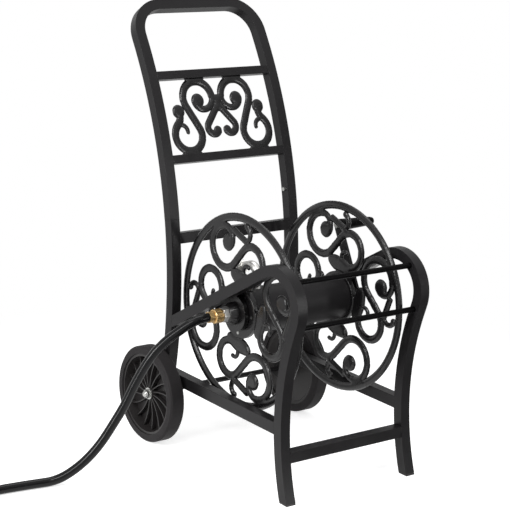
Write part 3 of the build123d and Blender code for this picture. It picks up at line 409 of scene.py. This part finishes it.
@dataclass
class TubeFrame:
    """Welded frame of square tube, with its bars, rods and end caps."""

    tube_edge_mm: float = 2.2
    bar_edge_mm: float = 1.6
    cap_edge_mm: float = 1.0

    def dress(self) -> None:
        """Coat the tubes, bars, rods, caps and bolts."""
        for side in SIDES:
            dress(f"{side}_side_tube", POWDER_COAT, self.tube_edge_mm)
            dress(f"{side}_post", POWDER_COAT, self.tube_edge_mm)
            dress(f"{side}_lower_rail", POWDER_COAT, self.bar_edge_mm)
            dress(f"{side}_foot_cap", WHEEL_PLASTIC, self.cap_edge_mm)
            dress(f"{side}_post_cap", WHEEL_PLASTIC, self.cap_edge_mm)
            dress(f"{side}_sleeve", ZINC_PLATE)
        dress("handle_tube", POWDER_COAT, self.tube_edge_mm)
        for bar in ("front_stretcher", "rear_cross_bar", "panel_top_bar", "panel_bottom_bar"):
            dress(bar, POWDER_COAT, self.bar_edge_mm)
        for rod in ("upper_guide_rod", "lower_guide_rod"):
            dress(rod, ROD_ENAMEL)
        dress("handle_bolts", ZINC_PLATE)


@dataclass
class ScrollCastings:
    """Cast scroll panel of the handle and the two cast discs of the reel, with round backs.

    Each edge of a band moves out by swell_mm, part of which the smoothing passes take back. The
    band then rises from edge_mm to a crown, which is full at crown_width_mm from its edge. A point
    is on an edge where its normal leans to the face by less than wall_lean. The discs' hubs stay
    flat, and the panel's ends stay on their bars.
    """

    grid_mm: float = 1.6
    swell_mm: float = 3.4
    edge_mm: float = 1.6
    crown_mm: float = 5.0
    crown_width_mm: float = 11.0
    wall_lean: float = 0.5
    hub_radius_mm: float = 60.5
    hub_blend_mm: float = 5.0
    reel_axis_z: float = 0.3686
    joint_mm: float = 1.5
    joint_blend_mm: float = 9.0
    passes: int = 12
    pass_share: float = 0.5

    def skin(self, node: str) -> bpy.types.Mesh:
        """Draw a node's surface on an even grid.

        Args:
            node: Name of the CAD node.

        Returns:
            A new mesh of the same shape with small even faces.
        """
        source = add_object(f"{node}_grid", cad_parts[node].data.copy())
        weld_corners(source)
        grid = source.modifiers.new("even_grid", "REMESH")
        grid.mode = "VOXEL"
        grid.voxel_size = self.grid_mm * MM
        drawn = source.evaluated_get(bpy.context.evaluated_depsgraph_get())
        mesh = bpy.data.meshes.new_from_object(drawn)
        bpy.data.objects.remove(source)
        return mesh

    def hub_share(self, place: Vector) -> float:
        """Tell a disc's scrolls from its flat hub.

        Args:
            place: A point of the disc.

        Returns:
            0 on the hub, 1 on the scrolls, and a share between them where they meet.
        """
        radius = math.hypot(place.y, place.z - self.reel_axis_z)
        share = (radius - self.hub_radius_mm * MM) / (self.hub_blend_mm * MM)
        return min(1.0, max(0.0, share))

    def end_distances(self, mesh: bpy.types.Mesh, out: Vector) -> list[float]:
        """Measure how far each point is from the casting's lower or upper end.

        Args:
            mesh: Mesh of the flat casting.
            out: Direction square to its face.

        Returns:
            Distances, one for each point.
        """
        rise = out.cross(UPWARD.cross(out)).normalized()
        rises = [point.co.dot(rise) for point in mesh.vertices]
        lowest, highest = min(rises), max(rises)
        return [min(height - lowest, highest - height) for height in rises]

    def crown(self, mesh: bpy.types.Mesh, out: Vector, shares: Sequence[float],
              joined: set[int]) -> None:
        """Raise the faces of the bands from a thin edge to a round back.

        Args:
            mesh: Mesh of the flat casting, changed in place.
            out: Direction square to its face.
            shares: How far each point follows, from 0 to 1.
            joined: Numbers of the points where the bands run on into a bar.
        """
        across = UPWARD.cross(out).normalized()
        along = out.cross(across)
        flat = [(point.co.dot(across), point.co.dot(along), 0.0) for point in mesh.vertices]
        heights = [point.co.dot(out) for point in mesh.vertices]
        banded = [height for height, share in zip(heights, shares) if share == 1.0]
        middle, half = (max(banded) + min(banded)) / 2, (max(banded) - min(banded)) / 2
        # Moving a point makes Blender work out all normals again, so they are copied first
        normals = [point.normal.copy() for point in mesh.vertices]
        leans = [normal.dot(out) for normal in normals]
        edges = {
            number for number, lean in enumerate(leans)
            if abs(lean) < self.wall_lean and shares[number] > 0.0 and number not in joined
        }
        walls = KDTree(len(edges))
        for number in edges:
            walls.insert(flat[number], number)
        walls.balance()
        swell = self.swell_mm * MM
        for number, point in enumerate(mesh.vertices):
            if shares[number] == 0.0:
                continue
            height = heights[number] - middle
            _, _, depth = walls.find(flat[number])
            slope = 1 - min(1.0, (depth + swell) / (self.crown_width_mm * MM))
            reach = self.edge_mm * MM
            if number not in edges:
                reach += self.crown_mm * MM * math.sqrt(1 - slope * slope)
            risen = math.copysign(reach * min(1.0, abs(height) / half), height)
            outward = normals[number] - out * leans[number]
            point.co += (out * (risen - height) + outward * swell) * shares[number]

    def cast(self, node: str, body: Body, out: Vector, has_hub: bool) -> None:
        """Make one casting over its flat CAD node.

        Args:
            node: Name of the CAD node.
            body: Body that it rides on.
            out: Direction square to its face.
            has_hub: Whether it has a flat hub on the reel's axis.
        """
        mesh = self.skin(node)
        joined: set[int] = set()
        if has_hub:
            shares = [self.hub_share(point.co) for point in mesh.vertices]
            weights = shares
        else:
            ends = self.end_distances(mesh, out)
            shares = [1.0] * len(ends)
            weights = [min(1.0, end / (self.joint_blend_mm * MM)) for end in ends]
            joined = {number for number, end in enumerate(ends) if end < self.joint_mm * MM}
        self.crown(mesh, out, shares, joined)
        mesh.shade_smooth()
        mesh.materials.clear()
        mesh.materials.append(CAST_POWDER_COAT.build())
        casting = add_object(f"{node}_casting", mesh)
        bands = casting.vertex_groups.new(name="bands")
        for number, weight in enumerate(weights):
            if weight > 0.0:
                bands.add([number], weight, "REPLACE")
        smooth = casting.modifiers.new("poured_rounding", "SMOOTH")
        smooth.factor = self.pass_share
        smooth.iterations = self.passes
        smooth.vertex_group = bands.name
        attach(casting, body.value)
        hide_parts(node)
        LOG.info("cast %s with %d points", node, len(mesh.vertices))

    def dress(self) -> None:
        """Cast the panel and the discs, and finish the discs' screws."""
        low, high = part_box("scroll_panel")
        rise, fall = high[2] - low[2], high[1] - low[1]
        self.cast("scroll_panel", Body.FRAME, Vector((0.0, -rise, fall)).normalized(), False)
        for side in SIDES:
            self.cast(f"{side}_disc", Body.REEL, Vector((1.0, 0.0, 0.0)), True)
            dress(f"{side}_disc_screws", ZINC_PLATE)


@dataclass
class Reel:
    """Drum, bearings and gooseneck outlet of the reel."""

    housing_edge_mm: float = 1.2

    def dress(self) -> None:
        """Finish the drum, the housings and what turns in them."""
        dress("drum", DRUM_ENAMEL)
        dress("outlet_elbow", NICKEL)
        dress("swivel_tube", BRASS_INLET)
        for side in SIDES:
            dress(f"{side}_bearing_housing", CAST_POWDER_COAT, self.housing_edge_mm)
            dress(f"{side}_bearing_bush", BEARING_PLASTIC)
        dress("bearing_bolts", ZINC_PLATE)


@dataclass
class Crank:
    """Crank shaft, arm and turning grip."""

    arm_edge_mm: float = 1.2
    nut_edge_mm: float = 0.5

    def dress(self) -> None:
        """Finish the shaft, the arm, the grip and their nuts."""
        dress("crank_arm", POWDER_COAT, self.arm_edge_mm)
        dress("crank_grip", GRIP_PLASTIC)
        for bar in ("crank_shaft", "grip_pin"):
            dress(bar, ZINC_PLATE)
        for nut in ("crank_nut", "grip_nut"):
            dress(nut, ZINC_PLATE, self.nut_edge_mm, FINE_EDGE_SEGMENTS)


@dataclass
class Wheels:
    """Axle with two ribbed wheels on solid tyres."""

    hub_edge_mm: float = 0.7
    nut_edge_mm: float = 0.4

    def dress(self) -> None:
        """Finish the tyres, hubs, bushes and the axle with its nuts."""
        for side in SIDES:
            dress(f"{side}_tyre", TYRE_RUBBER)
            dress(f"{side}_wheel_hub", WHEEL_PLASTIC, self.hub_edge_mm, FINE_EDGE_SEGMENTS)
            dress(f"{side}_wheel_bush", BEARING_PLASTIC)
        for bar in ("axle", "axle_spacers"):
            dress(bar, POWDER_COAT)
        dress("axle_washers", ZINC_PLATE)
        dress("axle_cap_nuts", ZINC_PLATE, self.nut_edge_mm, FINE_EDGE_SEGMENTS)


@dataclass
class WaterInlet:
    """Swivel collar, nickel-plated nipple and brass coupling on the left."""

    collar_edge_mm: float = 0.8
    nut_edge_mm: float = 0.4

    def dress(self) -> None:
        """Finish the collar, the nipple, the coupling and the tap end's coupling."""
        dress("swivel_collar", CAST_POWDER_COAT, self.collar_edge_mm)
        for seal in ("swivel_seals", "hose_washer"):
            dress(seal, SEAL_RUBBER)
        for fitting, finish in (
            ("inlet_nipple", NICKEL),
            ("hose_nut", BRASS_INLET),
            ("hose_ferrule", BRASS_INLET),
            ("supply_nut", BRASS_SUPPLY),
            ("supply_ferrule", BRASS_SUPPLY),
        ):
            dress(fitting, finish, self.nut_edge_mm, FINE_EDGE_SEGMENTS)


# Line of the leader hose from the inlet to the floor and along it
HOSE_RUN: tuple[Point, ...] = (
    (-0.2238, 0.0, 0.3686),
    (-0.2518, 0.0, 0.3686),
    (-0.2800, 0.002, 0.3600),
    (-0.3060, 0.008, 0.3440),
    (-0.3340, 0.017, 0.3230),
    (-0.3620, 0.030, 0.2880),
    (-0.3890, 0.045, 0.2300),
    (-0.4080, 0.056, 0.1770),
    (-0.4300, 0.064, 0.1370),
    (-0.4580, 0.073, 0.0895),
    (-0.4920, 0.083, 0.0510),
    (-0.5300, 0.093, 0.0240),
    (-0.5610, 0.102, 0.0120),
    (-0.5980, 0.108, 0.0120),
    (-0.6400, 0.114, 0.0120),
    (-0.6880, 0.119, 0.0120),
    (-0.7400, 0.122, 0.0120),
    (-0.7950, 0.122, 0.0120),
)


@dataclass
class LeaderHose:
    """Leader hose with its put-away coil and the strap that ties the coil.

    The hose lies with its middle at floor_z, and its end climbs at climb_angle to the tap's nut.
    """

    length: float = 1.832
    diameter: float = 0.021
    floor_z: float = 0.012
    coil_x: float = -0.816
    coil_y: float = 0.248
    outer_radius: float = 0.126
    turn_step: float = 0.0224
    end_x: float = -0.902
    end_radius: float = 0.0885
    points_per_turn: int = 16
    start_angle: float = 270.0
    climb_start_y: float = 0.2515
    climb_ys: tuple[float, ...] = (0.285, 0.318, 0.348, 0.37661)
    climb_angle: float = 16.0
    spline_order: int = 3
    spline_steps: int = 10
    section_steps: int = 8
    strap_width: float = 0.012
    strap_top_share: float = 0.92
    strap_gap: float = 0.0003
    strap_thickness: float = 0.0012
    strap_bend_steps: int = 12

    def coil_points(self) -> list[Point]:
        """Place the coil: two half turns winding in, then a quarter turn out to the end fitting.

        Returns:
            Points from the foot of the first turn to the hose's end.
        """
        step = 360 / self.points_per_turn
        # The spline runs through the middles between its points, so these stand a little outside
        outward = 1 / math.cos(math.radians(step / 2))
        half_turn = self.points_per_turn // 2
        half_step = self.turn_step / 2
        foot_y = self.coil_y - self.outer_radius + self.turn_step
        end_centre = (self.end_x + self.end_radius, foot_y + self.end_radius)
        arcs = (
            (self.coil_x, self.coil_y, self.outer_radius, half_turn),
            (self.coil_x, self.coil_y + half_step, self.outer_radius - half_step, half_turn),
            (*end_centre, self.end_radius, half_turn // 2),
        )
        angle = math.radians(self.start_angle - step / 2)
        line = []
        for x, y, radius, count in arcs:
            reach = radius * outward
            for _ in range(count):
                aside, ahead = reach * math.cos(angle), reach * math.sin(angle)
                line.append((x + aside, y + ahead, self.floor_z))
                angle -= math.radians(step)
        slope = math.tan(math.radians(self.climb_angle))
        for y in (self.climb_start_y, *self.climb_ys):
            line.append((self.end_x, y, self.floor_z + (y - self.climb_start_y) * slope))
        return line

    def build_hose(self) -> bpy.types.Object:
        """Make the hose as one smooth spline with a round section.

        Returns:
            The hose's curve object.
        """
        curve = bpy.data.curves.new("leader_hose_run", "CURVE")
        curve.dimensions = "3D"
        curve.resolution_u = self.spline_steps
        curve.bevel_depth = self.diameter / 2
        curve.bevel_resolution = self.section_steps
        curve.use_fill_caps = True
        line = list(HOSE_RUN) + self.coil_points()
        spline = curve.splines.new("NURBS")
        spline.points.add(len(line) - 1)
        for knot, point in zip(spline.points, line):
            knot.co = (*point, 1.0)
        spline.order_u = self.spline_order
        spline.use_endpoint_u = True
        curve.materials.append(HOSE_COVER.build())
        hose = add_object("leader_hose_run", curve)
        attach(hose, Body.FRAME.value)
        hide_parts("leader_hose", "leader_coil")
        return hose

    def strap_path(self) -> list[Place]:
        """Draw the middle line of the strap round the two turns.

        Returns:
            Places across and up, on a closed oval.
        """
        radius = self.diameter / 2 + self.strap_gap + self.strap_thickness / 2
        half = self.turn_step / 2
        places = []
        for centre, start in ((half, -90), (-half, 90)):
            for number in range(self.strap_bend_steps + 1):
                angle = math.radians(start + 180 * number / self.strap_bend_steps)
                places.append((centre + radius * math.cos(angle), radius * math.sin(angle)))
        return places

    def build_strap(self) -> bpy.types.Object:
        """Make the strap round the coil's two turns.

        Returns:
            The strap's mesh object.
        """
        places = self.strap_path()
        count = len(places)
        foot_y = self.coil_y - self.outer_radius + self.turn_step / 2
        points: list[Point] = []
        faces: list[tuple[int, ...]] = []
        top = self.strap_top_share / 2
        profile = ((-0.5, -0.5), (-top, 0.5), (top, 0.5), (0.5, -0.5))
        for number, (across, up) in enumerate(places):
            before, after = Vector(places[number - 1]), Vector(places[(number + 1) % count])
            ahead = (after - before).normalized()
            out = Vector((ahead.y, -ahead.x))
            for wide, high in profile:
                points.append((
                    self.coil_x + wide * self.strap_width,
                    foot_y + across + out.x * high * self.strap_thickness,
                    self.floor_z + up + out.y * high * self.strap_thickness,
                ))
        rows = len(profile)
        for number in range(count):
            following = (number + 1) % count
            for place in range(rows):
                beside = (place + 1) % rows
                faces.append((
                    number * rows + place, number * rows + beside,
                    following * rows + beside, following * rows + place,
                ))
        strap = mesh_piece("coil_strap", points, faces, WovenStrap().build())
        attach(strap, Body.FRAME.value)
        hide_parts("coil_tie")
        return strap

    def build(self) -> None:
        hose = self.build_hose()
        strap = self.build_strap()
        LOG.info("hose of %.3f m with %s", self.length, strap.name)


def placed(place: Point, across: Vector, up: Vector, back: Vector) -> Matrix:
    """Place a lamp or a camera by its own three directions.

    Args:
        place: Where it stands.
        across: Direction of its right side.
        up: Direction of its upper side.
        back: Direction away from what it faces.

    Returns:
        Its matrix in the scene.
    """
    return Matrix.Translation(place) @ Matrix((across, up, back)).transposed().to_4x4()


@dataclass(frozen=True)
class SoftBox:
    """A lamp behind a white rectangle, with a length along one direction and a power in watts."""

    name: str
    place: Point
    along: Point
    width: float
    length: float
    power: float

    def build(self, target: Point) -> None:
        """Put up the lamp.

        Args:
            target: Point that it faces.
        """
        light = bpy.data.lights.new(self.name, "AREA")
        light.shape = "RECTANGLE"
        light.size, light.size_y = self.width, self.length
        light.energy = self.power
        back = (Vector(self.place) - Vector(target)).normalized()
        across = Vector(self.along).cross(back).normalized()
        lamp = add_object(self.name, light)
        lamp.matrix_world = placed(self.place, across, back.cross(across), back)


@dataclass(frozen=True)
class GlossShadeSheet:
    """A grey sheet that only the object's gloss shows: painted shade in the reflections of the
    faces turned to it.
    """

    name: str
    colour: str
    corners: tuple[Point, ...]

    def build(self) -> None:
        """Put up the sheet of painted reflected shade."""
        material, tree = new_material(f"{self.name}_gloss_only_shade")
        shade_shader = add_node(tree, "ShaderNodeBsdfDiffuse", {}, {"Color": linear(self.colour)})
        add_node(tree, "ShaderNodeOutputMaterial", {}, {"Surface": shade_shader.outputs["BSDF"]})
        cloth = mesh_piece(self.name, self.corners, [(0, 1, 2, 3)], material)
        # Hidden from the camera, from diffuse light and from shadows, so it shows only as painted
        # shade in gloss
        cloth.visible_camera = False
        cloth.visible_diffuse = False
        cloth.visible_shadow = False


def lying(*places: Place, lift: float = 0.002) -> tuple[Point, ...]:
    """Corners of a cloth that lies just above the floor."""
    return tuple((x, y, lift) for x, y in places)


def hanging(start: Place, end: Place, foot: float, top: float = 2.2) -> tuple[Point, ...]:
    """Corners of a cloth that hangs upright between two places."""
    return (*start, foot), (*end, foot), (*end, top), (*start, top)


# A long strip from the left to overhead, a top light, and two upright strips for the tubes' edges
LAMPS = (
    SoftBox(
        "key_strip_box", place=(-1.65, -0.9, 1.95), along=(2.7, -1.25, 1.8),
        width=0.35, length=3.4, power=62.0,
    ),
    SoftBox(
        "top_soft_box", place=(0.2, 0.6, 3.0), along=(1.0, 0.0, 0.0),
        width=0.8, length=1.6, power=16.0,
    ),
    SoftBox(
        "left_strip_box", place=(-2.6, -0.1, 1.0), along=(0.0, 0.0, 1.0),
        width=0.22, length=1.5, power=24.0,
    ),
    SoftBox(
        "edge_strip_box", place=(0.75, -1.75, 0.85), along=(0.0, 0.0, 1.0),
        width=0.1, length=1.3, power=13.0,
    ),
)
# Painted shade in the reflections, from grey sheets that only the gloss shows: two before the cart
# darken its front faces, one behind it the tops, and a dark one under the axle the wheels' insides
FRONT_LEFT, FRONT_RIGHT = (-0.2, -3.0), (3.4, -0.6)
GLOSS_SHADE_SHEETS = (
    GlossShadeSheet(
        "floor_cloth", "#727272", lying((-0.35, -0.42), (0.6, -0.3), FRONT_RIGHT, FRONT_LEFT),
    ),
    GlossShadeSheet("standing_cloth", "#B8B8B8", hanging(FRONT_LEFT, FRONT_RIGHT, foot=0.002)),
    GlossShadeSheet("rear_cloth", "#D8D8D8", hanging((3.4, 0.9), (0.2, 3.3), foot=0.0)),
    # Dark sheet under the axle: painted shade reflected in the wheels' inner faces, which sit in
    # shade between the wheels
    GlossShadeSheet("axle_cloth", "#202020", lying((-0.25, 0.44), (0.2, 0.44), (0.2, 1.1), (-0.3, 1.1))),
)


@dataclass
class Studio:
    """Pale floor, sheets of painted reflected shade, lamps, white surroundings and the camera of
    the photograph.
    """

    floor_size: float = 14.0
    floor_white: float = 0.8
    shadow_share: float = 0.35
    shadow_reach: float = 0.5
    white_reach: float = 1.3
    lamp_target: Point = (-0.1, 0.0, 0.45)
    ambient: float = 0.42
    image_px: int = 510
    focal_px: float = 1653.911
    centre_px: Place = (248.566, 256.228)
    sensor_mm: float = 36.0
    sight: float = 100.0
    azimuth: float = -37.111
    elevation: float = 14.401
    roll: float = 2.555
    camera_at: Point = (-2.287435, -2.856100, 1.416293)

    def seen_factor(self, tree: bpy.types.NodeTree) -> Socket:
        """Tell the rays that see the surroundings from the rays that light the object.

        Args:
            tree: Node tree that gets the nodes.

        Returns:
            A socket that is 1 for camera, glossy and transmission rays.
        """
        path = add_node(tree, "ShaderNodeLightPath")
        first = add_node(tree, "ShaderNodeMath", {"operation": "MAXIMUM"}, {
            0: path.outputs["Is Camera Ray"], 1: path.outputs["Is Glossy Ray"],
        }).outputs[0]
        return add_node(tree, "ShaderNodeMath", {"operation": "MAXIMUM"}, {
            0: first, 1: path.outputs["Is Transmission Ray"],
        }).outputs[0]

    def build_floor(self) -> None:
        """Make the pale floor, which keeps the cart's soft shadow and is white farther out."""
        material, tree = new_material("studio_floor_pale_paint")
        tone = self.floor_white
        paint = add_node(tree, "ShaderNodeBsdfDiffuse", {}, {
            "Color": (tone, tone, tone, 1.0),
        }).outputs["BSDF"]
        glow = add_node(tree, "ShaderNodeEmission", {}, {
            "Strength": 1 - self.shadow_share,
        }).outputs[0]
        near = add_node(tree, "ShaderNodeAddShader", {}, {0: glow, 1: paint}).outputs[0]
        white = add_node(tree, "ShaderNodeEmission", {}, {"Strength": 1.0}).outputs[0]
        away = add_node(tree, "ShaderNodeVectorMath", {"operation": "LENGTH"}, {
            0: add_node(tree, "ShaderNodeNewGeometry").outputs["Position"],
        }).outputs["Value"]
        fading = add_node(tree, "ShaderNodeMapRange", {"interpolation_type": "SMOOTHSTEP"}, {
            "Value": away, "From Min": self.shadow_reach, "From Max": self.white_reach,
        }).outputs["Result"]
        seen = add_node(tree, "ShaderNodeMixShader", {}, {0: fading, 1: near, 2: white}).outputs[0]
        mixed = add_node(tree, "ShaderNodeMixShader", {}, {
            0: self.seen_factor(tree), 1: paint, 2: seen,
        }).outputs[0]
        add_node(tree, "ShaderNodeOutputMaterial", {}, {"Surface": mixed})
        half = self.floor_size / 2
        corners = lying((-half, -half), (half, -half), (half, half), (-half, half), lift=0.0)
        floor = mesh_piece("studio_floor", corners, [(0, 1, 2, 3)], material)

    def build_world(self) -> None:
        """Make the white surroundings, which light the cart only softly."""
        world = bpy.data.worlds.new("studio_surroundings")
        world.use_nodes = True
        tree = world.node_tree
        tree.nodes.clear()
        soft, white = (
            add_node(tree, "ShaderNodeBackground", {}, {"Color": WHITE, "Strength": strength})
            for strength in (self.ambient, 1.0)
        )
        mixed = add_node(tree, "ShaderNodeMixShader", {}, {
            0: self.seen_factor(tree), 1: soft.outputs[0], 2: white.outputs[0],
        }).outputs[0]
        add_node(tree, "ShaderNodeOutputWorld", {}, {"Surface": mixed})
        bpy.context.scene.world = world

    def build_camera(self) -> None:
        """Set the camera where the photograph was taken from."""
        azimuth, elevation = math.radians(self.azimuth), math.radians(self.elevation)
        roll = math.radians(self.roll)
        back = Vector((
            math.sin(azimuth) * math.cos(elevation),
            -math.cos(azimuth) * math.cos(elevation),
            math.sin(elevation),
        ))
        level_right = UPWARD.cross(back).normalized()
        level_up = back.cross(level_right)
        right = math.cos(roll) * level_right + math.sin(roll) * level_up
        up = math.cos(roll) * level_up - math.sin(roll) * level_right
        lens = bpy.data.cameras.new("photo_camera")
        lens.sensor_width = self.sensor_mm
        lens.lens = self.focal_px / self.image_px * self.sensor_mm
        lens.shift_x = (self.image_px / 2 - self.centre_px[0]) / self.image_px
        lens.shift_y = (self.centre_px[1] - self.image_px / 2) / self.image_px
        lens.clip_end = self.sight
        camera = add_object("photo_camera", lens)
        camera.matrix_world = placed(self.camera_at, right, up, back)
        bpy.context.scene.camera = camera

    def build(self) -> None:
        """Make the camera, the floor, the sheets of painted reflected shade, the surroundings and
        the lamps.
        """
        bpy.context.scene.view_settings.view_transform = "Standard"
        self.build_camera()
        self.build_floor()
        for cloth in GLOSS_SHADE_SHEETS:
            cloth.build()
        self.build_world()
        for lamp in LAMPS:
            lamp.build(self.lamp_target)


def main() -> None:
    """Build the studio, the hose and every sub-assembly's finishes, in order."""
    logging.basicConfig(level=logging.INFO, format="%(name)s: %(message)s")
    Studio().build()
    LeaderHose().build()
    for assembly in (TubeFrame(), ScrollCastings(), Reel(), Crank(), Wheels(), WaterInlet()):
        assembly.dress()
        LOG.info("finished %s", type(assembly).__name__)


if __name__ == "__main__":
    main()
